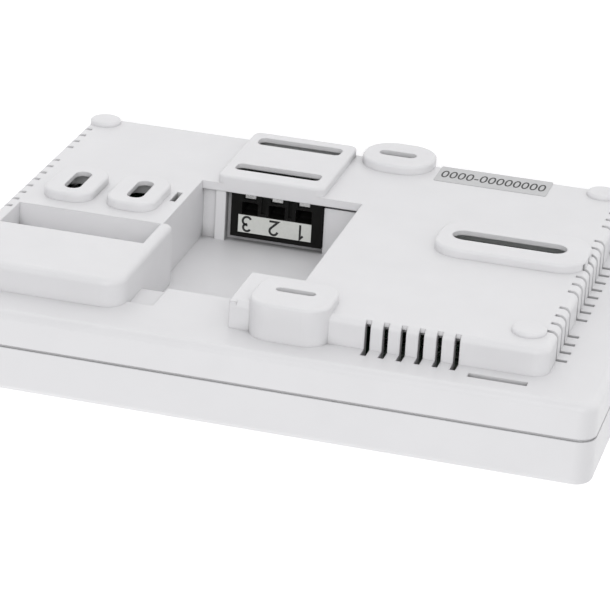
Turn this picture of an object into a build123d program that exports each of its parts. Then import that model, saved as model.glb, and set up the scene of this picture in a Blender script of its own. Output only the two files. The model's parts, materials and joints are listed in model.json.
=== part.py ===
"""Wall-mounted video intercom monitor, drawn lying on its screen and then stood up for export.

Drawing frame, used by every function below: X along the long side, Y across the short side, Z from the
front face (z = 0) to the wall face (z = unit_depth), centred on the raised back. The two half-shells are
centred at shell_x, because their flange is wider on the right. Millimetres.
stand() turns a finished piece into the export frame: screen facing -Y, wall face at Y = 0, +Z up,
origin at the middle of the raised back, on the wall face.
"""

import math
import os

from build123d import *

# ---- overall sizes ---------------------------------------------------------------------------------
unit_width = 115.8        # long side of the two half-shells
unit_height = 92.5        # short side
front_depth = 7.85        # front shell, from the front face to its rim
seam_gap = 0.45           # shadow line between the two shells
flange_depth = 6.0        # rear shell's outer step, above the seam
body_rise = 4.9           # raised back, above the flange
pad_rise = 1.6            # pads that touch the wall, above the raised back
flange_left = 2.4         # flange width beside the raised back, left
flange_right = 9.8        # the same, right
flange_end = 8.2          # the same, on the two long sides
shell_corner = 3.0        # outline corners of the half-shells
body_corner = 2.6         # outline corners of the raised back

rim_z = front_depth
seam_z = rim_z + seam_gap
flange_z = seam_z + flange_depth
body_z = flange_z + body_rise
unit_depth = body_z + pad_rise
body_width = unit_width - flange_left - flange_right
body_height = unit_height - 2 * flange_end
shell_x = (flange_right - flange_left) / 2

# ---- walls -----------------------------------------------------------------------------------------
front_wall = 2.2
side_wall = 2.0
rear_wall = 1.6
pad_skin = 0.9            # plastic left above the hollow under a pad
pad_hollow_margin = 0.9
edge_round = 1.4          # outer edge of the rear flange
body_round = 1.2          # edge of the raised back
pad_round = 0.5
front_round = 1.0         # outer edge of the front face

# ---- clearances ------------------------------------------------------------------------------------
fit_gap = 0.15            # pieces that drop into a recess
slide_gap = 0.25          # keys in their openings
touch_gap = 0.02          # stacked pieces of one body
lip_gap = 0.2             # locating lip to the rear shell
lip_thickness = 1.0
lip_root = 1.5            # lip's foot below the rim
lip_height = 1.2          # lip above the seam
seam_recess = 0.4         # depth of the shadow line between the shells

# ---- wiring pocket, open to the wall face ------------------------------------------------------------
pocket_left = -22.6       # left wall beside the terminal block
pocket_step_x = 1.6       # the same wall stands this much further in, near the cable channel
pocket_step_y = -9.9
pocket_right = 7.4
pocket_near = -26.2       # near wall at the cable channel
pocket_near_right = -25.1  # near wall beside the channel
pocket_far = 14.1
pocket_depth = 12.8       # below the wall face
pocket_wall = 1.2
channel_right = -2.0      # cable channel from the pocket to the near long side
channel_corner = 3.5      # upright corner where the channel leaves the raised back
lip_drop = 1.5            # lip over the terminal block, below the raised back
lip_reach = 1.1           # how far that lip overhangs the pocket
parting_slit = (0.75, 0.8)  # height and depth of the line under that lip
nook_size = (4.6, 8.0, 0.8)
post_width = 1.9          # upright rib beside the terminal block
post_reach = 0.8

pocket_floor_z = unit_depth - pocket_depth

# ---- terminal block --------------------------------------------------------------------------------
poles = 3
pole_pitch = 5.08
block_end_wall = 1.0
block_proud = 0.5         # face of the block out of the pocket's far wall
block_depth = 11.4
block_height = 9.1
block_center_x = -8.55
block_side_gap = 1.0
sill_depth = 1.1          # recess under and beside the block
sill_back = 0.35          # extra wall behind it
screw_r = 1.25
screw_length = 2.9
screw_from_face = 4.5
entry_width = 3.0
entry_height = 2.4
entry_base = 4.5          # bottom of the wire entry above the block's base
nut_height = 0.9
block_roof = 0.6          # plastic above a clamp nut
notch_width = 2.3         # notch at the block's top edge that shows the nut's tongue
notch_gap = 0.15
tongue_inset = 0.35       # tongue behind the block's face
guard_thickness = 0.4
label_x = -8.8
label_width = 13.8
label_height = 3.4
label_thickness = 0.1
label_lift = 0.005        # glue line under a label
label_base = 1.0

# ---- pads, slots and holes of the wall face ------------------------------------------------------------
hook_x = (-42.3, -30.55)  # two upright hook slots on the left
hook_y = 0.3
hook_pad = (9.2, 14.0)
hook_slot = (3.0, 8.6)
hook_slot_shift = 0.25    # slot to the right of its pad's middle
bar_pad = (26.7, 13.8)
bar_pad_center = (37.45, 1.7)
bar_slot = (20.3, 4.4)    # long slot on the right
bar_center = (36.75, 1.75)
cover_x = -9.9            # pad over the terminal block, flush with the lip
cover_pad = (20.0, 24.75)
cover_corner = 1.5
driver_slot = (16.0, 3.3)  # slot over the terminal screws
driver_slot_shift = 0.4
tab_slot = (16.0, 3.8)
tab_slot_y = 33.0
far_lug = (13.5, 7.65, 4.65)   # width, reach over the raised back, reach over the flange
far_lug_x = 8.45
far_lug_corner = 5.5
far_lug_slot = (7.0, 2.4)
far_lug_slot_center = (8.1, -1.45)    # from the raised back's edge
near_lug = (13.8, 9.15, 2.95)
near_lug_x = 8.3
near_lug_corner = 4.0
near_lug_slot = (6.8, 1.7)
near_lug_slot_center = (8.2, 4.05)
side_slot = (1.0, 4.7)    # small slot between the left pad and the pocket
side_slot_center = (-24.5, 3.2)
foot_r = 2.9
foot_rise = 0.8
foot_inset_left = 3.0
foot_inset_right = 4.6
foot_inset_far = 3.05
foot_inset_near = 6.55
trench = (-49.2, -23.0, -20.0, -10.2)
serial_size = (21.1, 7.6)
serial_center = (27.0, 33.8)

# ---- vents -----------------------------------------------------------------------------------------
vent_width = 0.95
vent_pitch = 3.5
vent_bite_end = 1.0       # length cut into the raised back's top, long side
vent_bite_side = 1.9      # the same, short sides
vent_skin = 0.8           # plastic left above the way into the case, long side
vent_open = 0.4           # the way into the case runs this far past the wall
vent_foot_end = 2.5       # length cut into the flange, long side
vent_foot_left = 0.8
vent_foot_right = 1.8
end_vent_pitch = 3.0
end_vent_count = 6
end_vent_start = 21.7
side_vent_groups = ((-24.9, 4), (0.0, 8), (24.9, 4))

# ---- snaps -----------------------------------------------------------------------------------------
snap_width = 9.0
snap_thickness = 1.2
snap_shelf = 1.2
snap_tip_drop = 1.6       # tip below the flange's face
snap_clear = 0.3          # shelf above the backlight
snap_slot = (9.8, 1.5)
snap_inset = 4.9
snap_x = 44.4

# ---- screen ----------------------------------------------------------------------------------------
window_border = 6.15      # from the near long side to the window
active_area = (95.0, 53.9)
window_size = (105.0, 63.0, 1.2)
window_corner = 2.5
gasket_thickness = 0.5
gasket_width = 2.6
panel_size = (105.5, 67.2, 1.4)
backlight_thickness = 1.5
ribbon_width = 20.0
ribbon_thickness = 0.3
ribbon_x = -12.0
ribbon_run = 5.2

screen_y = -unit_height / 2 + window_border + window_size[1] / 2

# ---- controls below the screen ---------------------------------------------------------------------
control_inset = 12.25     # row of keys, from the far long side
key_names = ("key_talk", "key_unlock", "key_gate", "key_monitor", "key_mute")
key_first = -17.7         # first key, from the middle of the front
key_spacing = 15.0
key_cap = (11.0, 7.0)
key_corner = 3.0
key_flange = 1.0
key_flange_depth = 0.6
key_stem_r = 1.6
key_travel = 0.5
switch_size = (6.0, 6.0, 3.4)
plunger_r = 1.5
plunger_length = 1.8
plunger_rise = 0.7        # plunger proud of its switch
speaker_offset = -43.2
speaker_size = (24.0, 14.0)
speaker_corner = 5.0
speaker_rim = 1.5
speaker_depth = 4.0
speaker_slots = 7
speaker_slot = (1.2, 9.6)
speaker_slot_pitch = 2.6
mic_offset = (52.3, 7.0)  # from the middle of the front and from the key row
mic_r = 2.0
mic_depth = 1.6
mic_hole_r = 0.6
boot_wall = 0.7
led_offset = (52.3, -3.0)
led_pipe_r = 1.0

control_y = unit_height / 2 - control_inset
speaker_x = shell_x + speaker_offset
mic_center = (shell_x + mic_offset[0], control_y + mic_offset[1])
led_center = (shell_x + led_offset[0], control_y + led_offset[1])

# ---- circuit board ---------------------------------------------------------------------------------
board_thickness = 1.6
board_rise = 1.1          # its wall side above the pocket's floor
board_end_margin = 6.25   # from the long sides of the shells
board_corner = 2.0
board_cut_gap = 0.5
board_places = tuple((x, y) for x in (-45.5, 45.5) for y in (-30.0, 24.0))
boss_r = 2.4
screw_hole_r = 1.2
board_screw_r = 1.0
board_screw_head_r = 1.9
board_screw_head = 1.3
board_screw_length = 6.0
thread_gap = 0.05         # round a board screw inside its boss


def slab(size, z0, z1, corner=0.0, center=(0.0, 0.0)):
    """A plate with rounded outline corners between two heights."""
    outline = RectangleRounded(size[0], size[1], corner) if corner else Rectangle(*size)
    return Pos(center[0], center[1], z0) * extrude(outline, z1 - z0)


def block(x0, x1, y0, y1, z0, z1):
    """A plain box given by its six faces."""
    return Pos((x0 + x1) / 2, (y0 + y1) / 2, (z0 + z1) / 2) * Box(x1 - x0, y1 - y0, z1 - z0)


def rod(r, z0, z1, center=(0.0, 0.0)):
    return Pos(center[0], center[1], (z0 + z1) / 2) * Cylinder(r, z1 - z0)


def oblong(size, z0, z1, center=(0.0, 0.0)):
    """A cutter or pad with round ends, along whichever side is longer."""
    return slab(size, z0, z1, min(size) / 2 - 0.01, center)


def soften(shape, z, radius, edges=None):
    """Rounds the edges that lie wholly at height z."""
    level = [e for e in (edges or shape.edges()) if abs(e.bounding_box().min.Z - z) < 1e-4
             and abs(e.bounding_box().max.Z - z) < 1e-4]
    return fillet(level, radius)


def stand(shape):
    """Drawing frame to export frame."""
    return Pos(0, -unit_depth, 0) * Rot(-90, 0, 0) * shape


# ---- derived places --------------------------------------------------------------------------------
shell_center = (shell_x, 0.0)
inner_size = (unit_width - 2 * side_wall, unit_height - 2 * side_wall)
lip_out = (inner_size[0] - 2 * lip_gap, inner_size[1] - 2 * lip_gap)
lip_in = (lip_out[0] - 2 * lip_thickness, lip_out[1] - 2 * lip_thickness)
board_size = (lip_in[0] - 2 * fit_gap, unit_height - 2 * board_end_margin)
board_top_z = pocket_floor_z + board_rise
board_z = board_top_z - board_thickness
block_width = poles * pole_pitch + 2 * block_end_wall
block_left = block_center_x - block_width / 2
block_right = block_center_x + block_width / 2
block_face_y = pocket_far - block_proud
block_far_y = block_face_y + block_depth
block_top_z = board_top_z + block_height
screw_y = block_face_y + screw_from_face
screw_tip_z = block_top_z - screw_length
lip_z = body_z - lip_drop
lip_y = pocket_far - lip_reach
pole_x = [block_center_x + pole_pitch * ((poles - 1) / 2 - i) for i in range(poles)]
key_x = [shell_x + key_first + key_spacing * i for i in range(len(key_names))]
entry_z = board_top_z + entry_base
entry_top_z = entry_z + entry_height
contact_top_z = entry_z - 0.1
nut_top_z = block_top_z - block_roof - 0.05
nut_z = nut_top_z - nut_height
clamp_near_y = screw_y - 1.9
clamp_far_y = screw_y + 2.3
window_seat_z = window_size[2]
gasket_z = front_wall
panel_z = gasket_z + gasket_thickness
backlight_z = panel_z + panel_size[2]
backlight_top_z = backlight_z + backlight_thickness
screen_center = (shell_x, screen_y)
panel_far_y = screen_y + panel_size[1] / 2
snap_base_z = backlight_top_z + snap_clear
snap_tip_z = flange_z - snap_tip_drop
snap_y = unit_height / 2 - snap_inset
snap_places = ((snap_x, -snap_y), (-snap_x, snap_y), (snap_x, snap_y))
switch_z = board_z - switch_size[2]
plunger_z = switch_z - plunger_rise
cover_center = (cover_x, lip_y + cover_pad[1] / 2)
lug_slots = ((1, far_lug_slot, far_lug_slot_center), (-1, near_lug_slot, near_lug_slot_center))
pads = (
    [((x, hook_y), hook_pad, 3.4) for x in hook_x]
    + [(bar_pad_center, bar_pad, 4.6), (cover_center, cover_pad, cover_corner)]
)


def lug(side, z0, z1, inset=0.0):
    """Oval lug that hangs over the far (1) or near (-1) long side of the raised back."""
    width, over_body, over_flange = far_lug if side > 0 else near_lug
    x, corner = (far_lug_x, far_lug_corner) if side > 0 else (near_lug_x, near_lug_corner)
    y = side * (body_height / 2 + (over_flange - over_body) / 2)
    size = (width - 2 * inset, over_body + over_flange - 2 * inset)
    return slab(size, z0, z1, corner - inset, (x, y))


def foot_places():
    left = -body_width / 2 + foot_inset_left
    right = body_width / 2 - foot_inset_right
    near = -body_height / 2 + foot_inset_near
    far = body_height / 2 - foot_inset_far
    return [(x, y) for x in (left, right) for y in (near, far)]


def rear_outer():
    """Outside of the rear shell without its pocket and cuts."""
    flange = slab((unit_width, unit_height), seam_z, flange_z, shell_corner, shell_center)
    flange = soften(flange, flange_z, edge_round)
    raised = slab((body_width, body_height), seam_z, body_z, body_corner)
    raised = soften(raised, body_z, body_round)
    shell = flange + raised
    for center, size, corner in pads:
        pad = slab(size, body_z - 0.5, unit_depth, corner, center)
        shell += soften(pad, unit_depth, pad_round)
    for side in (-1, 1):
        shell += soften(lug(side, flange_z - 0.5, unit_depth), unit_depth, pad_round)
    for place in foot_places():
        foot = rod(foot_r, body_z - 0.5, body_z + foot_rise, place)
        shell += soften(foot, body_z + foot_rise, foot_rise * 0.6)
    return shell


def rear_inner():
    """Hollow of the rear shell."""
    wide = slab(inner_size, seam_z - 1, flange_z - rear_wall, shell_corner - side_wall, shell_center)
    high = slab((body_width - 2 * rear_wall, body_height - 2 * rear_wall), seam_z - 1, body_z - rear_wall,
                body_corner - rear_wall)
    hollow = wide + high
    for center, size, corner in pads:
        inner = (size[0] - 2 * pad_hollow_margin, size[1] - 2 * pad_hollow_margin)
        inner_corner = corner - pad_hollow_margin
        hollow += slab(inner, body_z - rear_wall - 0.5, unit_depth - pad_skin, inner_corner, center)
    for side in (-1, 1):
        hollow += lug(side, flange_z - rear_wall - 0.5, unit_depth - pad_skin, pad_hollow_margin)
    return hollow


def pocket_shape(grow=0.0):
    """The pocket and its cable channel; grown by a wall it gives the pocket's outside."""
    base = pocket_floor_z - grow
    top = unit_depth + 1
    channel_left = pocket_left + pocket_step_x - grow
    edge = -body_height / 2 - 1
    back = block(pocket_left - grow, pocket_right + grow, pocket_step_y - grow, pocket_far + grow, base, top)
    front = block(channel_left, pocket_right + grow, pocket_near_right - grow, pocket_step_y, base, top)
    mouth = block(channel_left, channel_right + grow, pocket_near - grow, pocket_step_y, base, top)
    channel = block(channel_left, channel_right + grow, edge, pocket_near + 1, flange_z - grow, top)
    return back + front + mouth + channel


def channel_corner_post():
    """Fills the upright corner of the raised back at the channel's left mouth, ready for its rounding."""
    corner_x = pocket_left + pocket_step_x
    corner_y = -body_height / 2
    post = rod(channel_corner, flange_z, body_z, (corner_x - channel_corner, corner_y + channel_corner))
    return post & block(corner_x - channel_corner, corner_x, corner_y, corner_y + channel_corner,
                        flange_z, body_z)


def channel_corner_air():
    """Air round that corner, and over the rounded edge that runs from it along the channel."""
    corner_x = pocket_left + pocket_step_x
    corner_y = -body_height / 2
    place = (corner_x - channel_corner, corner_y + channel_corner)
    post = soften(rod(channel_corner, flange_z, body_z, place), body_z, body_round)
    corner = block(place[0], corner_x + 1, corner_y - 1, place[1], flange_z, body_z + 1) - post
    length = pocket_step_y - place[1]
    roll = Pos(corner_x - body_round, (place[1] + pocket_step_y) / 2, body_z - body_round) * Rot(90, 0, 0)
    edge = block(corner_x - body_round, corner_x + 1, place[1], pocket_step_y,
                 body_z - body_round, body_z + 1)
    return corner + (edge - roll * Cylinder(body_round, length))


def end_vent(x):
    """One vent that wraps over the near long edge of the raised back and opens into the case."""
    edge = -body_height / 2
    x0 = x - vent_width / 2
    x1 = x + vent_width / 2
    notch = block(x0, x1, edge - vent_foot_end, edge + vent_bite_end, flange_z - rear_wall - 1, body_z + 1)
    return notch + block(x0, x1, edge, edge + rear_wall + vent_open,
                         flange_z - rear_wall - 1, body_z - vent_skin)


def side_vent(side, y):
    """The same over a short edge of the raised back."""
    edge = body_width / 2
    foot = vent_foot_right if side > 0 else vent_foot_left
    x0, x1 = sorted((side * (edge - vent_bite_side), side * (edge + foot)))
    deep0, deep1 = sorted((side * edge, side * (edge - rear_wall - vent_open)))
    y0 = y - vent_width / 2
    y1 = y + vent_width / 2
    notch = block(x0, x1, y0, y1, flange_z - rear_wall - 1, body_z + 1)
    return notch + block(deep0, deep1, y0, y1, flange_z - rear_wall - 1, body_z - rear_wall)


def vent_positions():
    for middle, count in side_vent_groups:
        for i in range(count):
            yield middle + vent_pitch * (i - (count - 1) / 2)


def block_opening():
    """Way through the pocket's far wall for the terminal block, in a recess that leaves a shadow round it."""
    sill_z = board_top_z - fit_gap
    top = block_top_z + fit_gap
    way = block(block_left - fit_gap, block_right + fit_gap, pocket_far - 1, block_far_y + 0.5, sill_z, top)
    return way + block(block_left - block_side_gap, block_right + fit_gap, pocket_far - 1,
                       pocket_far + sill_depth, pocket_floor_z, top)


def sill_backing():
    """Thicker wall behind that recess."""
    y = pocket_far + pocket_wall
    return block(block_left - block_side_gap - 1, block_right + 1, y - 0.1, y + sill_back,
                 pocket_floor_z - pocket_wall, lip_z)


def wall_face_cuts():
    """Slots that the wall bracket and a screwdriver reach through."""
    top = unit_depth + 1
    for x in hook_x:
        yield oblong(hook_slot, flange_z, top, (x + hook_slot_shift, hook_y))
    yield oblong(bar_slot, flange_z, top, bar_center)
    yield slab(driver_slot, flange_z, top, 1.0, (cover_x, screw_y + driver_slot_shift))
    yield slab(tab_slot, flange_z, top, 1.2, (cover_x, tab_slot_y))
    for side, size, (x, y) in lug_slots:
        yield oblong(size, flange_z - rear_wall - 1, top, (x, side * body_height / 2 + y))
    yield slab(side_slot, flange_z, top, 0.0, side_slot_center)
    for place in snap_places:
        yield slab(snap_slot, flange_z - rear_wall - 1, flange_z + 1, 0.0, place)


def rear_housing():
    hollow = rear_inner()
    outer = rear_outer()
    tub = pocket_shape(pocket_wall)
    tub += block(trench[0] - pocket_wall, trench[1] + pocket_wall, trench[2] - pocket_wall,
                 trench[3] + pocket_wall, flange_z - pocket_wall, body_z)
    body_limit = slab((body_width - 0.1, body_height - 0.1), pocket_floor_z - pocket_wall, body_z - 0.1)
    shell = outer - hollow + (tub & (body_limit + outer))
    shell += channel_corner_post() + sill_backing()
    for place in board_places:
        shell += rod(boss_r, board_top_z + touch_gap, body_z - rear_wall + 0.2, place)
        shell -= rod(board_screw_r + thread_gap, board_top_z - 1, board_z + board_screw_length + 0.3, place)
    lip = block(pocket_left, pocket_right, lip_y, pocket_far + 1, lip_z, body_z)
    pad_overhang = slab(cover_pad, body_z - 0.5, unit_depth, cover_corner, cover_center)
    shell -= pocket_shape() - lip - pad_overhang
    shell -= channel_corner_air()
    post_x = block_left - block_side_gap - post_width
    shell += block(post_x, post_x + post_width, pocket_far - post_reach, pocket_far + 0.1,
                   pocket_floor_z - 0.1, lip_z + 0.1)
    shell -= block(block_right, pocket_right, pocket_far - 0.1, pocket_far + parting_slit[1],
                   lip_z - parting_slit[0], lip_z)
    nook_x = pocket_left + pocket_step_x
    shell -= block(nook_x, nook_x + nook_size[0], pocket_near - nook_size[1], pocket_near,
                   flange_z - nook_size[2], flange_z + 1)
    shell -= block_opening()
    shell -= block(trench[0], trench[1], trench[2], trench[3], flange_z, unit_depth)
    for cut in wall_face_cuts():
        shell -= cut
    for i in range(end_vent_count):
        shell -= end_vent(end_vent_start + end_vent_pitch * i)
    for side in (-1, 1):
        for y in vent_positions():
            shell -= side_vent(side, y)
    return shell


def snap_arm(x, y):
    """Upright tongue on a shelf from the front shell's side wall; its tip shows in the rear slot."""
    x0 = x - snap_width / 2
    x1 = x + snap_width / 2
    wall_y = y + math.copysign(snap_inset - side_wall + 0.2, y)
    arm = block(x0, x1, y - snap_thickness / 2, y + snap_thickness / 2, snap_base_z, snap_tip_z)
    return arm + block(x0, x1, min(y, wall_y), max(y, wall_y), snap_base_z, snap_base_z + snap_shelf)


def front_frame():
    shell = slab((unit_width, unit_height), 0, rim_z, shell_corner, shell_center)
    shell = soften(shell, 0, front_round)
    tongue = (unit_width - 2 * seam_recess, unit_height - 2 * seam_recess)
    shell += slab(tongue, rim_z - 0.1, seam_z - touch_gap, shell_corner - seam_recess, shell_center)
    shell -= slab(inner_size, front_wall, rim_z + 1, shell_corner - side_wall, shell_center)
    lip = slab(inner_size, rim_z - lip_root, rim_z, 0, shell_center)
    lip += slab(lip_out, rim_z - lip_root, seam_z + lip_height, shell_corner - side_wall, shell_center)
    shell += lip - slab(lip_in, rim_z - 2, seam_z + 2, 0, shell_center)
    seat = (window_size[0] + 2 * fit_gap, window_size[1] + 2 * fit_gap)
    shell -= slab(seat, -1, window_seat_z + touch_gap, window_corner, screen_center)
    shell -= slab((active_area[0] + 1, active_area[1] + 1), -1, front_wall + 1, 0.8, screen_center)
    for x in key_x:
        hole = (key_cap[0] + 2 * slide_gap, key_cap[1] + 2 * slide_gap)
        shell -= slab(hole, -1, front_wall + 1, key_corner + slide_gap, (x, control_y))
    for i in range(speaker_slots):
        x = speaker_x + (i - (speaker_slots - 1) / 2) * speaker_slot_pitch
        shell -= oblong(speaker_slot, -1, front_wall + 1, (x, control_y))
    shell -= rod(mic_hole_r, -1, front_wall + 1, mic_center)
    shell -= rod(led_pipe_r + fit_gap, -1, front_wall + 1, led_center)
    for x, y in snap_places:
        shell += snap_arm(x, y)
    return shell


def screen_window():
    pane = slab(window_size[:2], 0, window_size[2], window_corner - fit_gap, screen_center)
    return soften(pane, 0, 0.25)


def display_gasket():
    inside = (active_area[0] + 1.6, active_area[1] + 1.6)
    outside = (inside[0] + 2 * gasket_width, inside[1] + 2 * gasket_width)
    top = panel_z - touch_gap
    ring = slab(outside, gasket_z + touch_gap, top, 1.0, screen_center)
    return ring - slab(inside, 0, panel_z + 1, 0.5, screen_center)


def display_panel():
    return slab(panel_size[:2], panel_z, backlight_z - touch_gap, 0.4, screen_center)


def backlight_unit():
    tray = slab(panel_size[:2], backlight_z, backlight_top_z, 0.8, screen_center)
    ribs = slab((panel_size[0] - 8, panel_size[1] - 8), backlight_top_z - 0.2, backlight_top_z + 1, 1.0,
                screen_center)
    return tray - ribs


def display_ribbon():
    """Flat flex from the panel's edge to the connector under the board."""
    start_y = panel_far_y + 0.1
    end_y = start_y + ribbon_run
    low_z = backlight_z + 0.5
    high_z = board_z - 0.9
    mid_y = start_y + 0.9
    run = block(0, ribbon_width, start_y, mid_y + ribbon_thickness, low_z, low_z + ribbon_thickness)
    rise = block(0, ribbon_width, mid_y, mid_y + ribbon_thickness, low_z, high_z)
    tail = block(0, ribbon_width, mid_y, end_y - 2.5, high_z - ribbon_thickness, high_z)
    return Pos(ribbon_x - ribbon_width / 2, 0, 0) * (run + rise + tail)


def display_connector():
    start_y = panel_far_y + 0.1 + ribbon_run - 2.4
    half = ribbon_width / 2 + 1.2
    low_z = board_z - 1.5
    shell = block(ribbon_x - half, ribbon_x + half, start_y, start_y + 2.6, low_z, board_z - touch_gap)
    return chamfer(shell.edges().filter_by(Axis.Z), 0.3)


def key_piece(x):
    """Key cap with a retaining flange and a stem behind the front wall."""
    cap = slab(key_cap, 0, front_wall + 0.1, key_corner, (x, control_y))
    cap = soften(cap, 0, 0.4)
    wide = (key_cap[0] + 2 * key_flange, key_cap[1] + 2 * key_flange)
    flange_from = front_wall + 0.05
    flange = slab(wide, flange_from, flange_from + key_flange_depth, key_corner + key_flange, (x, control_y))
    stem = rod(key_stem_r, flange_from, plunger_z - touch_gap, (x, control_y))
    return cap + flange + stem


def key_plunger(x):
    return rod(plunger_r, plunger_z, plunger_z + plunger_length, (x, control_y))


def key_switches():
    """Five tactile switches, each with a well for its plunger."""
    bodies = []
    for x in key_x:
        body = block(x - switch_size[0] / 2, x + switch_size[0] / 2, control_y - switch_size[1] / 2,
                     control_y + switch_size[1] / 2, switch_z, board_z - touch_gap)
        body = chamfer(body.edges().filter_by(Axis.Z), 0.4)
        bodies.append(body - rod(plunger_r + 0.1, switch_z - 1, plunger_z + plunger_length + key_travel + 0.2,
                                 (x, control_y)))
    return bodies


def speaker_ring(inset, z0, z1, cap_z):
    """Oval ring with the speaker's outline, closed above cap_z."""
    center = (speaker_x, control_y)
    hole = (speaker_size[0] - 2 * inset, speaker_size[1] - 2 * inset)
    ring = slab(speaker_size, z0, z1, speaker_corner, center)
    return ring - slab(hole, z0 - 1, cap_z, speaker_corner - inset, center)


def speaker_gasket():
    top = front_wall + gasket_thickness
    return speaker_ring(speaker_rim, front_wall + touch_gap, top, top + 1)


def speaker_basket():
    z0 = front_wall + gasket_thickness + touch_gap
    rim = speaker_ring(speaker_rim, z0, z0 + 1.6, z0 + 1.2)
    return rim + rod(4.5, z0 + 1.6, z0 + speaker_depth, (speaker_x, control_y))


def speaker_cone():
    """Shallow oval dish with a dust cap, inside the basket's rim."""
    center = (speaker_x, control_y)
    inset = speaker_rim + 0.3
    z0 = front_wall + gasket_thickness + 0.35
    size = (speaker_size[0] - 2 * inset, speaker_size[1] - 2 * inset)
    return slab(size, z0, z0 + 0.7, speaker_corner - inset, center) + rod(3.0, z0 - 0.3, z0, center)


def microphone():
    return rod(mic_r, front_wall + 0.5, front_wall + 0.5 + mic_depth, mic_center)


def mic_boot():
    cup = rod(mic_r + boot_wall, front_wall + touch_gap, front_wall + 0.5 + mic_depth, mic_center)
    cup -= rod(mic_r + 0.01, front_wall + 0.5 - touch_gap, unit_depth, mic_center)
    return cup - rod(mic_hole_r, 0, unit_depth, mic_center)


def light_pipe():
    pipe = rod(led_pipe_r, 0.1, front_wall + 1.4, led_center)
    return pipe + rod(led_pipe_r + 0.6, front_wall + touch_gap, front_wall + 0.6, led_center)


def status_led():
    x, y = led_center
    return block(x - 0.8, x + 0.8, y - 0.6, y + 0.6, board_z - 0.8, board_z - touch_gap)


def main_board():
    board = slab(board_size, board_z, board_top_z, board_corner, shell_center)
    cut = pocket_wall + board_cut_gap
    board -= block(pocket_left - cut, pocket_right + cut, pocket_near - cut, pocket_far + cut, 0, unit_depth)
    for place in board_places:
        board -= rod(screw_hole_r, 0, unit_depth, place)
    for place in snap_places:
        board -= slab((snap_width + 2, snap_thickness + 3), 0, unit_depth, 0.0, place)
    return board


def board_screws():
    """Four pan-head screws that hold the board on the rear shell's bosses."""
    screws = []
    low_z = board_z - board_screw_head
    for x, y in board_places:
        shank = rod(board_screw_r, board_z - 0.1, board_z + board_screw_length, (x, y))
        head = soften(rod(board_screw_head_r, low_z, board_z - touch_gap, (x, y)), low_z, 0.5)
        cross = slab((0.5, 2.0), low_z - 1, low_z + 0.6, 0, (x, y))
        cross += slab((2.0, 0.5), low_z - 1, low_z + 0.6, 0, (x, y))
        screws.append(shank + head - cross)
    return screws


def terminal_block():
    body = block(block_left, block_right, block_face_y, block_far_y, board_top_z + touch_gap, block_top_z)
    body = chamfer(body.edges().filter_by(Axis.X).sort_by(Axis.Y)[-2:], 0.8)
    for x in pole_x:
        half = entry_width / 2
        body -= block(x - half, x + half, block_face_y - 1, screw_y + 2.4, entry_z, entry_top_z)
        chamber = half + 0.4
        body -= block(x - chamber, x + chamber, clamp_near_y - 0.1, clamp_far_y + 0.1, entry_z - 0.8,
                      block_top_z - block_roof)
        body -= rod(screw_r + fit_gap, entry_top_z, unit_depth, (x, screw_y))
        notch = notch_width / 2
        body -= block(x - notch, x + notch, block_face_y - 1, clamp_near_y, nut_z - notch_gap, unit_depth)
    for i in range(poles - 1):
        x = (pole_x[i] + pole_x[i + 1]) / 2
        groove_z = board_top_z + label_base + label_height + 0.6
        body -= block(x - 0.35, x + 0.35, block_face_y - 1, block_face_y + 0.4, groove_z, unit_depth)
    return body


def terminal_contact(x):
    """Tinned plate that the wire is pressed on."""
    half = entry_width / 2 + 0.3
    return block(x - half, x + half, clamp_near_y, clamp_far_y, contact_top_z - 0.6, contact_top_z)


def clamp_nut(x):
    """Threaded plate at the top of the wire chamber, with a tongue forward into the block's notch."""
    half = entry_width / 2 + 0.3
    tongue = notch_width / 2 - notch_gap
    plate = block(x - half, x + half, clamp_near_y, clamp_far_y, nut_z, nut_top_z)
    plate += block(x - tongue, x + tongue, block_face_y + tongue_inset, clamp_near_y, nut_z, nut_top_z)
    return plate - rod(screw_r + 0.06, 0, unit_depth, (x, screw_y))


def terminal_screw(x):
    """Headless slotted screw, flush with the block when the clamp is open."""
    screw = rod(screw_r, screw_tip_z, block_top_z - 0.05, (x, screw_y))
    screw = soften(screw, screw_tip_z, 0.3)
    return screw - block(x - 2, x + 2, screw_y - 0.25, screw_y + 0.25, block_top_z - 0.9, block_top_z + 1)


def wire_guard(x):
    """Leaf under the screw's tip that the wire bears on."""
    half = entry_width / 2 - 0.15
    top = screw_tip_z - 0.01
    return block(x - half, x + half, screw_y - 1.6, screw_y + 1.9, top - guard_thickness, top)


def terminal_label():
    x0 = label_x - label_width / 2
    z0 = board_top_z + label_base
    return block(x0, x0 + label_width, block_face_y - label_thickness, block_face_y - label_lift, z0,
                 z0 + label_height)


def serial_label():
    z0 = body_z + label_lift
    return slab(serial_size, z0, z0 + label_thickness, 0.4, serial_center)


def video_processor():
    chip = block(-46, -34, -25, -13, board_top_z + touch_gap, board_top_z + 1.0)
    return chamfer(chip.edges().filter_by(Axis.Z), 0.4)


def shield_can():
    can = block(20, 42, -30, -12, board_top_z + touch_gap, board_top_z + 2.6)
    can = fillet(can.edges().filter_by(Axis.Z), 1.0)
    return can - block(20.3, 41.7, -29.7, -12.3, 0, board_top_z + 2.3)


def power_inductor():
    core = block(16, 24, 4, 12, board_top_z + touch_gap, board_top_z + 4.0)
    return fillet(core.edges().filter_by(Axis.Z), 2.0)


def capacitors():
    """Three upright electrolytic capacitors beside the terminal block."""
    cans = []
    for x in (14.0, 21.5, 29.0):
        can = rod(3.0, board_top_z + touch_gap, board_top_z + 5.8, (x, 22.0))
        cans.append(soften(can, board_top_z + 5.8, 0.5))
    return cans


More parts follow.
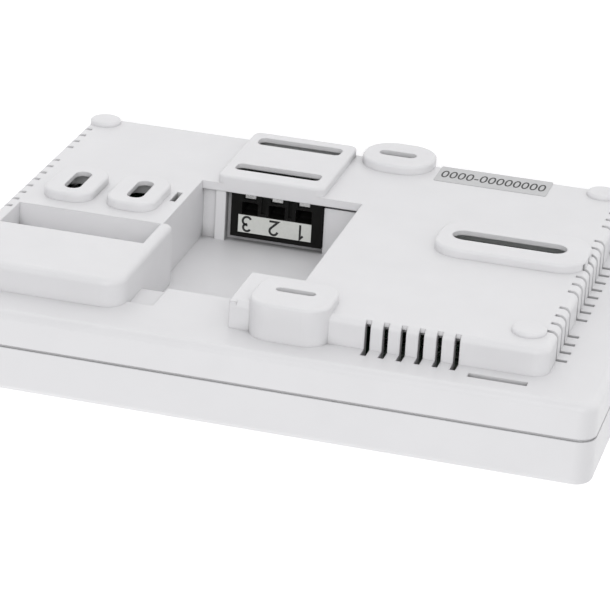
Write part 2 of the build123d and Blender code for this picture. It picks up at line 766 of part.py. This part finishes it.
def pieces():
    """Every node with its solids, in the drawing frame."""
    yield "rear_housing", rear_housing()
    yield "front_frame", front_frame()
    yield "screen_window", screen_window()
    yield "display_gasket", display_gasket()
    yield "display_panel", display_panel()
    yield "backlight_unit", backlight_unit()
    yield "display_ribbon", display_ribbon()
    yield "display_connector", display_connector()
    for name, x in zip(key_names, key_x):
        yield name, key_piece(x)
        yield name + "_plunger", key_plunger(x)
    yield "key_switches", key_switches()
    yield "speaker_gasket", speaker_gasket()
    yield "speaker_basket", speaker_basket()
    yield "speaker_cone", speaker_cone()
    yield "microphone", microphone()
    yield "mic_boot", mic_boot()
    yield "light_pipe", light_pipe()
    yield "status_led", status_led()
    yield "main_board", main_board()
    yield "board_screws", board_screws()
    yield "terminal_block", terminal_block()
    for i, x in enumerate(pole_x):
        yield f"terminal_contact_{i + 1}", terminal_contact(x)
        yield f"clamp_nut_{i + 1}", clamp_nut(x)
        yield f"terminal_screw_{i + 1}", terminal_screw(x)
        yield f"wire_guard_{i + 1}", wire_guard(x)
    yield "terminal_label", terminal_label()
    yield "serial_label", serial_label()
    yield "video_processor", video_processor()
    yield "shield_can", shield_can()
    yield "power_inductor", power_inductor()
    yield "capacitors", capacitors()


def main():
    os.makedirs("parts", exist_ok=True)
    for name, shape in pieces():
        solids = shape if isinstance(shape, list) else [shape]
        placed = [stand(s) for s in solids]
        result = placed[0] if len(placed) == 1 else Compound(children=placed)
        export_step(result, f"parts/{name}.step")


main()
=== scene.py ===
"""Looks, camera and light for the video intercom monitor. Metres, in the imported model's frame:
screen towards -Y, wall face at Y = 0, +Z up. The unit stands on its lower long side."""

import json
import math
from functools import partial

import bmesh
import bpy
from mathutils import Matrix, Vector


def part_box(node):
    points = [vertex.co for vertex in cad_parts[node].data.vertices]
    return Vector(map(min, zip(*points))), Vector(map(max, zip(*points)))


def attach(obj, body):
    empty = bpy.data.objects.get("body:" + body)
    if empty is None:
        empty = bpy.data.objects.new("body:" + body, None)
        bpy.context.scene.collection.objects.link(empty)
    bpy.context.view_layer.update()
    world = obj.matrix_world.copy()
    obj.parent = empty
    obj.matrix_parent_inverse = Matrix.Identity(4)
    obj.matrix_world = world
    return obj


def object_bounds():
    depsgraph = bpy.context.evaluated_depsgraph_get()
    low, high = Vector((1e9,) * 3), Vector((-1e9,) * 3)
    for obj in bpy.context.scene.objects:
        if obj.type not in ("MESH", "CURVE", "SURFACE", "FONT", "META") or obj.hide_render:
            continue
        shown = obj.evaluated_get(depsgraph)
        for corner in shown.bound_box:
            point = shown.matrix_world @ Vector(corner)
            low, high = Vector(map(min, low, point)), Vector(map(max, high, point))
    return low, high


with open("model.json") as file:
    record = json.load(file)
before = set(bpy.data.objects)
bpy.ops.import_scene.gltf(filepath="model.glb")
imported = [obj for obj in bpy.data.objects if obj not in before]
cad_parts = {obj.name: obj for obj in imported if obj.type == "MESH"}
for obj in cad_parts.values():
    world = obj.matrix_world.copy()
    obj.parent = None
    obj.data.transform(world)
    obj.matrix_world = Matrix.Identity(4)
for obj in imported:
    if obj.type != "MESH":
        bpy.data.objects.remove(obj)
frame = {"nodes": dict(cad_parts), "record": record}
cad_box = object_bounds()
nodes = frame["nodes"]
MM = 0.001

# ---- camera: solved on the unit as it lies on its screen, then turned with the unit ----------------
LENS_MM = 177.0
SENSOR_MM = 36.0
CLIP = (0.01, 20)
EYE = Vector((0.12246, 0.19317, 0.47572))
VIEW_YAW = math.radians(-14.30)
VIEW_PITCH = math.radians(23.19)
VIEW_ROLL = math.radians(3.29)
LYING_TO_STANDING = Matrix.Rotation(math.radians(-90), 3, "X")


def set_camera():
    cos_yaw, sin_yaw = math.cos(VIEW_YAW), math.sin(VIEW_YAW)
    cos_pitch, sin_pitch = math.cos(VIEW_PITCH), math.sin(VIEW_PITCH)
    forward = Vector((sin_yaw * cos_pitch, cos_yaw * cos_pitch, -sin_pitch))
    level_right = Vector((cos_yaw, -sin_yaw, 0))
    level_up = level_right.cross(forward)
    right = level_right * math.cos(VIEW_ROLL) + level_up * math.sin(VIEW_ROLL)
    up = level_up * math.cos(VIEW_ROLL) - level_right * math.sin(VIEW_ROLL)
    axes = [LYING_TO_STANDING @ v for v in (right, up, -forward)]
    data = bpy.data.cameras.new("camera")
    data.lens = LENS_MM
    data.sensor_width = SENSOR_MM
    data.clip_start, data.clip_end = CLIP
    camera = bpy.data.objects.new("camera", data)
    bpy.context.collection.objects.link(camera)
    camera.matrix_world = Matrix.Translation(EYE) @ Matrix(axes).transposed().to_4x4()
    bpy.context.scene.camera = camera


# ---- light and floor -------------------------------------------------------------------------------
WORLD_STRENGTH = 0.6
WORLD_COLOUR = (0.985, 0.985, 1, 1)
SOFT_BOXES = (                   # name, place, side, power
    ("key", (0.2, 0.5, 0.95), 0.8, 5.2),
    ("front_fill", (-0.5, -0.9, 0.5), 0.8, 5),
)
FLOOR_SIZE = 6.0
FLOOR_DROP = 0.0002              # keeps the floor clear of the case it carries
FLOOR_GREY = (0.6, 0.6, 0.6)
FLOOR_GLOW = 0.55


def soft_box(name, location, size, power):
    """A square area light that faces the unit."""
    data = bpy.data.lights.new(name, "AREA")
    data.shape = "SQUARE"
    data.size = size
    data.energy = power
    light = bpy.data.objects.new(name, data)
    bpy.context.collection.objects.link(light)
    light.location = location
    light.rotation_euler = (-Vector(location)).to_track_quat("-Z", "Y").to_euler()


def set_light():
    world = bpy.data.worlds.new("world")
    bpy.context.scene.world = world
    world.use_nodes = True
    background = world.node_tree.nodes["Background"]
    background.inputs["Color"].default_value = WORLD_COLOUR
    background.inputs["Strength"].default_value = WORLD_STRENGTH
    for box in SOFT_BOXES:
        soft_box(*box)
    bpy.context.scene.view_settings.view_transform = "Standard"


# ---- material tools --------------------------------------------------------------------------------
class Finish:
    """A Principled material whose patterns sit in the object's own metres."""

    def __init__(self, name, colour, roughness, metallic=0.0, **sockets):
        self.material = bpy.data.materials.new(name)
        self.material.use_nodes = True
        self.tree = self.material.node_tree
        self.shader = self.tree.nodes["Principled BSDF"]
        self.colour = (*colour, 1)
        self.roughness = roughness
        self.shader.inputs["Base Color"].default_value = self.colour
        self.shader.inputs["Roughness"].default_value = roughness
        self.shader.inputs["Metallic"].default_value = metallic
        for socket, value in sockets.items():
            self.shader.inputs[socket.replace("_", " ")].default_value = value
        self.where = self.add("ShaderNodeTexCoord").outputs["Object"]
        self.normal = None

    def add(self, kind, inputs=None, **props):
        """A node with its properties, and its inputs linked or set by name or number."""
        node = self.tree.nodes.new(kind)
        for key, value in props.items():
            setattr(node, key, value)
        for key, value in (inputs or {}).items():
            if isinstance(value, bpy.types.NodeSocket):
                self.tree.links.new(value, node.inputs[key])
            else:
                node.inputs[key].default_value = value
        return node

    def math(self, operation, a, b=0.0):
        return self.add("ShaderNodeMath", {0: a, 1: b}, operation=operation).outputs[0]

    def noise(self, size, detail=3.0, stretch=(1, 1, 1)):
        """Noise with blobs of about this size in metres, longer along a stretched axis."""
        scale = tuple(1 / s for s in stretch)
        placed = self.add("ShaderNodeMapping", {"Vector": self.where, "Scale": scale}).outputs[0]
        inputs = {"Vector": placed, "Scale": 1 / size, "Detail": detail}
        return self.add("ShaderNodeTexNoise", inputs).outputs["Fac"]

    def spread(self, value, low, high, from_low=0.3, from_high=0.7):
        inputs = {"Value": value, "From Min": from_low, "From Max": from_high, "To Min": low, "To Max": high}
        return self.add("ShaderNodeMapRange", inputs).outputs["Result"]

    def blend(self, factor, a, b, blend_type="MIX"):
        """Colour mix; each of the three is a value or a socket."""
        return self.add("ShaderNodeMix", {0: factor, 6: a, 7: b}, data_type="RGBA",
                        blend_type=blend_type).outputs[2]

    def paint(self, colour):
        self.tree.links.new(colour, self.shader.inputs["Base Color"])

    def mottle(self, size, amount, stretch=(1, 1, 1)):
        """Slow drift of the colour, by this share either way."""
        dark = tuple(c * (1 - amount) for c in self.colour[:3]) + (1,)
        light = tuple(min(1, c * (1 + amount)) for c in self.colour[:3]) + (1,)
        factor = self.spread(self.noise(size, 4.0, stretch), 0, 1)
        self.paint(self.blend(factor, dark, light))
        return self

    def gloss_drift(self, size, swing, stretch=(1, 1, 1)):
        low, high = self.roughness - swing, self.roughness + swing
        value = self.spread(self.noise(size, 5.0, stretch), low, high)
        self.tree.links.new(value, self.shader.inputs["Roughness"])
        return self

    def shaded_crevices(self, reach, depth):
        """Darkens the colour where faces closer than this reach shut the light out."""
        nearby = self.add("ShaderNodeAmbientOcclusion", {"Distance": reach}, samples=8)
        shade = self.spread(nearby.outputs["AO"], 1 - depth, 1, 0.05, 0.55)
        surface = self.shader.inputs["Base Color"].links[0].from_socket
        grey = self.add("ShaderNodeCombineColor", {0: shade, 1: shade, 2: shade}).outputs[0]
        self.paint(self.blend(1.0, surface, grey, "MULTIPLY"))
        return self

    def soft_edges(self, radius):
        """Corners shaded as if slightly rounded, like every moulded edge."""
        self.normal = self.add("ShaderNodeBevel", {"Radius": radius}, samples=4).outputs["Normal"]
        self.tree.links.new(self.normal, self.shader.inputs["Normal"])
        return self

    def relief(self, height, depth, strength=1.0):
        """Bump of this depth in metres, on top of what is there already."""
        inputs = {"Height": height, "Distance": depth, "Strength": strength}
        if self.normal:
            inputs["Normal"] = self.normal
        self.normal = self.add("ShaderNodeBump", inputs).outputs["Normal"]
        self.tree.links.new(self.normal, self.shader.inputs["Normal"])
        return self

    def grain(self, size, depth, strength=1.0, stretch=(1, 1, 1)):
        return self.relief(self.noise(size, 2.0, stretch), depth, strength)

    def axis(self, letter):
        split = self.add("ShaderNodeSeparateXYZ", {0: self.where})
        return split.outputs[letter]

    def box_mask(self, low, high, edge):
        """1 inside the box's X and Z sides, 0 outside, over an edge of this width."""
        masks = []
        for index, letter in ((0, "X"), (2, "Z")):
            value = self.axis(letter)
            masks.append(self.spread(value, 0, 1, low[index] - edge, low[index]))
            masks.append(self.spread(value, 1, 0, high[index], high[index] + edge))
        result = masks[0]
        for mask in masks[1:]:
            result = self.math("MULTIPLY", result, mask)
        return result

    def stripes(self, letter, pitch, share):
        """1 on parallel lines across an axis, each this share of the pitch wide."""
        phase = self.math("FRACT", self.math("MULTIPLY", self.axis(letter), 1 / pitch))
        return self.math("LESS_THAN", phase, share)


# ---- finishes --------------------------------------------------------------------------------------
ACTIVE_AREA_INSET = 3.4 * MM     # from the outside of the display gasket


def housing_white():
    f = Finish("housing_white", (0.715, 0.712, 0.722), 0.42, Specular_IOR_Level=0.45)
    f.soft_edges(0.28 * MM).mottle(9 * MM, 0.012).gloss_drift(3.5 * MM, 0.05)
    f.shaded_crevices(3 * MM, 0.75)
    return f.grain(0.16 * MM, 0.006 * MM).grain(14 * MM, 0.05 * MM, 0.5)


def key_white():
    f = Finish("key_white", (0.76, 0.76, 0.765), 0.33)
    f.soft_edges(0.2 * MM).mottle(4 * MM, 0.012).gloss_drift(2 * MM, 0.04)
    return f.grain(0.12 * MM, 0.004 * MM)


def window_glass():
    """Black-printed window: the screen's active area shows as a slightly lighter, cooler field."""
    f = Finish("window_glass", (0.006, 0.006, 0.007), 0.06, Coat_Weight=0.6, Coat_Roughness=0.03)
    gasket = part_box("display_gasket")
    margin = Vector((ACTIVE_AREA_INSET, 0, ACTIVE_AREA_INSET))
    active = f.box_mask(Vector(gasket[0]) + margin, Vector(gasket[1]) - margin, 0.3 * MM)
    f.paint(f.blend(active, f.colour, (0.017, 0.019, 0.024, 1)))
    f.gloss_drift(12 * MM, 0.025, (1, 1, 2.5))
    return f.grain(20 * MM, 0.02 * MM, 0.4)


def display_dark():
    f = Finish("display_dark", (0.02, 0.022, 0.03), 0.22)
    return f.mottle(8 * MM, 0.1).gloss_drift(5 * MM, 0.06).grain(0.3 * MM, 0.003 * MM)


def black_foam():
    f = Finish("black_foam", (0.03, 0.03, 0.031), 0.9, Sheen_Weight=0.2)
    return f.mottle(0.6 * MM, 0.35).grain(0.35 * MM, 0.12 * MM)


def black_rubber():
    f = Finish("black_rubber", (0.025, 0.025, 0.025), 0.65)
    return f.mottle(1.5 * MM, 0.15).gloss_drift(1 * MM, 0.08).grain(0.2 * MM, 0.01 * MM)


def rolled_metal(name, colour, roughness):
    """Sheet metal with fine rolling lines along X."""
    f = Finish(name, colour, roughness, 1.0, Anisotropic=0.35)
    along = (40, 1, 1)
    return f.mottle(2 * MM, 0.06).gloss_drift(0.25 * MM, 0.09, along).grain(0.12 * MM, 0.004 * MM, 0.6, along)


def tinned(name, colour):
    """Tin plate: soft crystalline mottling and small scratches."""
    f = Finish(name, colour, 0.45, 1.0)
    cells = f.add("ShaderNodeTexVoronoi", {"Vector": f.where, "Scale": 1 / (0.7 * MM)}).outputs["Distance"]
    f.mottle(0.8 * MM, 0.08).gloss_drift(0.5 * MM, 0.08)
    return f.relief(cells, 0.004 * MM, 0.5)


def screw_steel():
    f = Finish("screw_steel", (0.62, 0.62, 0.61), 0.3, 1.0)
    f.soft_edges(0.08 * MM).mottle(0.7 * MM, 0.12).gloss_drift(0.4 * MM, 0.12)
    return f.grain(0.15 * MM, 0.006 * MM)


def ribbon():
    """Amber polyimide over parallel copper tracks."""
    f = Finish("ribbon", (0.30, 0.13, 0.03), 0.35, Coat_Weight=0.3)
    tracks = f.stripes("X", 0.5 * MM, 0.55)
    f.paint(f.blend(tracks, f.colour, (0.47, 0.24, 0.08, 1)))
    f.gloss_drift(2 * MM, 0.05)
    return f.relief(tracks, 0.01 * MM, 0.6)


def moulded(name, colour, roughness, grain_mm=0.14):
    """Small moulded part: fine texture, faint flow mottling."""
    f = Finish(name, colour, roughness)
    f.soft_edges(0.1 * MM).mottle(1.8 * MM, 0.07).gloss_drift(1.2 * MM, 0.06)
    return f.grain(grain_mm * MM, 0.006 * MM)


def terminal_black():
    f = Finish("terminal_black", (0.006, 0.006, 0.0055), 0.6, Specular_IOR_Level=0.12)
    f.soft_edges(0.12 * MM).mottle(2 * MM, 0.12).gloss_drift(1.5 * MM, 0.07)
    return f.grain(0.14 * MM, 0.008 * MM)


def speaker_paper():
    f = Finish("speaker_paper", (0.04, 0.04, 0.041), 0.85)
    return f.mottle(0.5 * MM, 0.3).grain(0.25 * MM, 0.05 * MM, 0.8, (3, 1, 1))


def light_pipe_clear():
    f = Finish("light_pipe_clear", (0.92, 0.94, 0.94), 0.12, Transmission_Weight=0.9, IOR=1.58)
    return f.gloss_drift(0.8 * MM, 0.05).grain(0.5 * MM, 0.004 * MM)


def led_lens():
    f = Finish("led_lens", (0.75, 0.76, 0.66), 0.2, Coat_Weight=0.5)
    return f.mottle(0.6 * MM, 0.08).gloss_drift(0.5 * MM, 0.05)


def board_green():
    """Solder mask over copper: tracks run under it both ways, with tinned pads in a loose grid."""
    f = Finish("board_green", (0.012, 0.10, 0.045), 0.3, Coat_Weight=0.4, Coat_Roughness=0.15)
    bend = f.spread(f.noise(14 * MM, 1.0), -1.6 * MM, 1.6 * MM)
    moved = f.add("ShaderNodeVectorMath", {0: f.where, 1: bend}, operation="ADD").outputs[0]
    flat = f.add("ShaderNodeMapping", {"Vector": moved, "Rotation": (math.pi / 2, 0, 0)}).outputs[0]
    bricks = {"Vector": flat, "Scale": 1.0, "Mortar Size": 0.28 * MM, "Mortar Smooth": 0.0,
              "Brick Width": 7.5 * MM, "Row Height": 1.9 * MM}
    tracks = f.add("ShaderNodeTexBrick", bricks).outputs["Fac"]
    spots = f.add("ShaderNodeTexVoronoi", {"Vector": f.where, "Scale": 1 / (4.2 * MM), "Randomness": 0.55})
    pads = f.math("LESS_THAN", spots.outputs["Distance"], 0.13)
    green = f.blend(tracks, f.colour, (0.022, 0.16, 0.07, 1))
    f.paint(f.blend(pads, green, (0.55, 0.55, 0.52, 1)))
    f.tree.links.new(pads, f.shader.inputs["Metallic"])
    f.gloss_drift(5 * MM, 0.06)
    return f.relief(f.math("ADD", tracks, pads), 0.03 * MM, 0.7)


def label_film(name, colour, roughness):
    """Printed film: faint fibre mottling and a soft sheen."""
    f = Finish(name, colour, roughness, Coat_Weight=0.15, Coat_Roughness=0.3)
    return f.mottle(0.5 * MM, 0.035).gloss_drift(1 * MM, 0.06).grain(0.25 * MM, 0.003 * MM)


def chip_black():
    f = Finish("chip_black", (0.018, 0.018, 0.019), 0.6)
    return f.mottle(1 * MM, 0.15).gloss_drift(1 * MM, 0.08).grain(0.1 * MM, 0.008 * MM)


def capacitor_sleeve():
    """Bare aluminium can, drawn lengthwise."""
    f = Finish("capacitor_sleeve", (0.72, 0.72, 0.73), 0.32, 1.0)
    return f.mottle(1.5 * MM, 0.06).gloss_drift(0.3 * MM, 0.08, (1, 1, 8)).grain(0.1 * MM, 0.003 * MM)


def print_ink(name, colour):
    """Screen-printed ink, slightly uneven at its own scale."""
    f = Finish(name, colour, 0.5)
    return f.mottle(0.15 * MM, 0.25).gloss_drift(0.3 * MM, 0.08)


FINISHES = {
    "housing_white": housing_white,
    "key_white": key_white,
    "window_glass": window_glass,
    "display_dark": display_dark,
    "black_foam": black_foam,
    "black_rubber": black_rubber,
    "steel_frame": lambda: rolled_metal("steel_frame", (0.55, 0.55, 0.56), 0.36),
    "shield_tin": lambda: rolled_metal("shield_tin", (0.66, 0.66, 0.64), 0.3),
    "contact_tin": lambda: tinned("contact_tin", (0.26, 0.26, 0.25)),
    "screw_steel": screw_steel,
    "ribbon": ribbon,
    "connector_cream": lambda: moulded("connector_cream", (0.64, 0.56, 0.38), 0.45),
    "switch_black": lambda: moulded("switch_black", (0.02, 0.02, 0.02), 0.45),
    "plunger_black": lambda: moulded("plunger_black", (0.012, 0.012, 0.012), 0.4),
    "speaker_paper": speaker_paper,
    "light_pipe_clear": light_pipe_clear,
    "led_lens": led_lens,
    "board_green": board_green,
    "terminal_black": terminal_black,
    "label_white": lambda: label_film("label_white", (0.62, 0.63, 0.60), 0.45),
    "label_grey": lambda: label_film("label_grey", (0.50, 0.50, 0.505), 0.4),
    "chip_black": chip_black,
    "ferrite": lambda: moulded("ferrite", (0.045, 0.045, 0.047), 0.7, 0.3),
    "capacitor_sleeve": capacitor_sleeve,
}


def finish_nodes():
    made = {slot: build().material for slot, build in FINISHES.items()}
    for part in frame["record"]["subparts"]:
        mesh = nodes[part["node"]].data
        mesh.materials.clear()
        mesh.materials.append(made[part["material_slot"]])


# ---- printing --------------------------------------------------------------------------------------
INK_THICKNESS = 0.02 * MM
NUMBER_SHIFT = -0.4 * MM         # the printed numbers sit slightly to one side of their poles
SERIAL_TEXT = "0000-00000000"
SERIAL_SIZE = (19.6 * MM, 3.5 * MM)


def link_piece(name, mesh, material, body):
    """A print on the part: it rides on a body."""
    mesh.materials.clear()
    mesh.materials.append(material)
    piece = bpy.data.objects.new(name, mesh)
    bpy.context.collection.objects.link(piece)
    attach(piece, body)


def frame_matrix(origin, right, up):
    """Places flat artwork: X along right, Y along up, Z out of the surface."""
    right, up = Vector(right), Vector(up)
    out = right.cross(up)
    turn = Matrix((right, up, out)).transposed().to_4x4()
    return Matrix.Translation(origin) @ turn


def lettering(name, text, size, place, material, body):
    """Digits as thin solids that fill the given width and height."""
    data = bpy.data.curves.new(name, "FONT")
    data.body = text
    data.align_x = "CENTER"
    data.extrude = 0.5
    data.resolution_u = 4
    source = bpy.data.objects.new(name + "_source", data)
    bpy.context.collection.objects.link(source)
    bpy.context.view_layer.update()
    mesh = bpy.data.meshes.new_from_object(source)
    bpy.data.objects.remove(source)
    xs = [v.co.x for v in mesh.vertices]
    ys = [v.co.y for v in mesh.vertices]
    scale = (size[0] / (max(xs) - min(xs)), size[1] / (max(ys) - min(ys)), INK_THICKNESS, 1)
    base_centre = Vector(((max(xs) + min(xs)) / 2, (max(ys) + min(ys)) / 2, -0.5))
    mesh.transform(Matrix.Translation(-base_centre))
    mesh.transform(Matrix.Diagonal(scale))
    mesh.transform(place)
    link_piece(name, mesh, material, body)


# ---- drawn marks -----------------------------------------------------------------------------------
STROKE = 0.42 * MM


def arc(centre, radius, start, end, steps=14):
    angles = [math.radians(start + (end - start) * i / steps) for i in range(steps + 1)]
    return [(centre[0] + radius * math.cos(a), centre[1] + radius * math.sin(a)) for a in angles]


def outline_of(points, width, closed):
    """Both sides of a stroke along the points, mitred at each corner."""
    count = len(points)
    left, right = [], []
    for i, point in enumerate(points):
        here = Vector(point)
        before = Vector(points[i - 1]) if i or closed else here
        after = Vector(points[(i + 1) % count]) if i < count - 1 or closed else here
        a = (here - before).normalized() if before != here else (after - here).normalized()
        b = (after - here).normalized() if after != here else a
        normal = (Vector((-a.y, a.x)) + Vector((-b.y, b.x))).normalized()
        reach = width / 2 / max(0.4, normal.dot(Vector((-a.y, a.x))))
        left.append(here + normal * reach)
        right.append(here - normal * reach)
    return left, right


def add_prism(work, ring):
    """A thin solid over a ring of flat points."""
    top = [work.verts.new((p[0], p[1], INK_THICKNESS)) for p in ring]
    base = [work.verts.new((p[0], p[1], 0)) for p in ring]
    work.faces.new(top)
    work.faces.new(base[::-1])
    for i in range(len(ring)):
        j = (i + 1) % len(ring)
        work.faces.new((base[i], base[j], top[j], top[i]))


def add_stroke(work, points, closed=False, width=STROKE):
    left, right = outline_of(points, width, closed)
    for i in range(len(points) if closed else len(points) - 1):
        j = (i + 1) % len(points)
        add_prism(work, [right[i], right[j], left[j], left[i]])


def mm(points):
    return [(x * MM, y * MM) for x, y in points]


def artwork(name, draw, place, material, body):
    """A printed mark drawn flat by its function, then put in place."""
    work = bmesh.new()
    draw(work)
    mesh = bpy.data.meshes.new(name)
    work.to_mesh(mesh)
    work.free()
    mesh.transform(place)
    link_piece(name, mesh, material, body)


def handset(work):
    add_stroke(work, mm(arc((0, -1.2), 2.1, 155, 25)), width=0.75 * MM)
    for side in (-1, 1):
        add_prism(work, mm([(side * 1.95 + dx, -0.65 + dy) for dx, dy in arc((0, 0), 0.62, 0, 340, 16)]))


def open_lock(work):
    add_stroke(work, mm([(-1.35, -1.7), (1.35, -1.7), (1.35, 0.3), (-1.35, 0.3)]), closed=True)
    add_stroke(work, mm([(-0.85, 0.4), *arc((0, 1.05), 0.85, 180, 0, 10)]))
    add_prism(work, mm(arc((0, -0.7), 0.34, 0, 345, 14)))


def gate(work):
    for x in (-1.8, -0.9, 0, 0.9, 1.8):
        add_stroke(work, mm([(x, -1.6), (x, 1.7 - abs(x) * 0.3)]), width=0.34 * MM)
    for y in (-0.9, 0.8):
        add_stroke(work, mm([(-2.1, y), (2.1, y)]), width=0.34 * MM)


def eye(work):
    upper = arc((0, -1.5), 2.6, 150, 30)
    lower = arc((0, 1.1), 2.6, -30, -150)
    add_stroke(work, mm(upper + lower), closed=True)
    add_prism(work, mm(arc((0, -0.2), 0.62, 0, 345, 18)))


def quiet_bell(work):
    dome = arc((0, 0.4), 1.15, 180, 0, 12)
    add_stroke(work, mm([(-1.6, -1.1), (-1.15, -0.6), *dome, (1.15, -0.6), (1.6, -1.1)]), closed=True)
    add_stroke(work, mm([(-2.0, -1.7), (2.0, 1.9)]), width=0.4 * MM)
    add_prism(work, mm(arc((0, -1.65), 0.36, 0, 345, 14)))


def add_strokes(work, strokes):
    for line in strokes:
        add_stroke(work, mm(line))


POLE_NUMBERS = {
    1: [[(-0.45, 0.75), (0.1, 1.35), (0.1, -1.35)]],
    2: [[*arc((0, 0.62), 0.75, 170, -38, 12), (-0.78, -1.22), (0.85, -1.22)]],
    3: [arc((0, 0.7), 0.68, 155, -95, 14), arc((0, -0.58), 0.8, 100, -155, 16)],
}


def print_labels():
    ink = print_ink("print_black", (0.012, 0.012, 0.012)).material
    low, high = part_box("terminal_label")
    for number, strokes in POLE_NUMBERS.items():
        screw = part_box(f"terminal_screw_{number}")
        x = (screw[0][0] + screw[1][0]) / 2 + NUMBER_SHIFT
        place = frame_matrix((x, (low[1] + high[1]) / 2, high[2]), (-1, 0, 0), (0, -1, 0))
        artwork(f"pole_number_{number}", partial(add_strokes, strokes=strokes), place, ink, "unit")
    low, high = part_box("serial_label")
    place = frame_matrix(((low[0] + high[0]) / 2, high[1], (low[2] + high[2]) / 2), (1, 0, 0), (0, 0, -1))
    lettering("serial_digits", SERIAL_TEXT, SERIAL_SIZE, place, ink, "unit")


KEY_SYMBOLS = {
    "key_talk": handset,
    "key_unlock": open_lock,
    "key_gate": gate,
    "key_monitor": eye,
    "key_mute": quiet_bell,
}


def print_keys():
    ink = print_ink("print_grey", (0.07, 0.075, 0.085)).material
    for key, draw in KEY_SYMBOLS.items():
        low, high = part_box(key)
        centre = ((low[0] + high[0]) / 2, low[1], (low[2] + high[2]) / 2)
        place = frame_matrix(centre, (1, 0, 0), (0, 0, 1))
        artwork(key + "_symbol", draw, place, ink, key + "_body")


def make_floor():
    low = cad_box[0]
    bpy.ops.mesh.primitive_plane_add(size=FLOOR_SIZE, location=(0, 0, low[2] - FLOOR_DROP))
    plane = bpy.context.object
    plane.name = "floor"
    paper = Finish("floor_paper", FLOOR_GREY, 0.9, Emission_Color=(1, 1, 1, 1),
                   Emission_Strength=FLOOR_GLOW)
    plane.data.materials.append(paper.mottle(0.4, 0.004).material)


finish_nodes()
print_labels()
print_keys()
set_camera()
set_light()
make_floor()
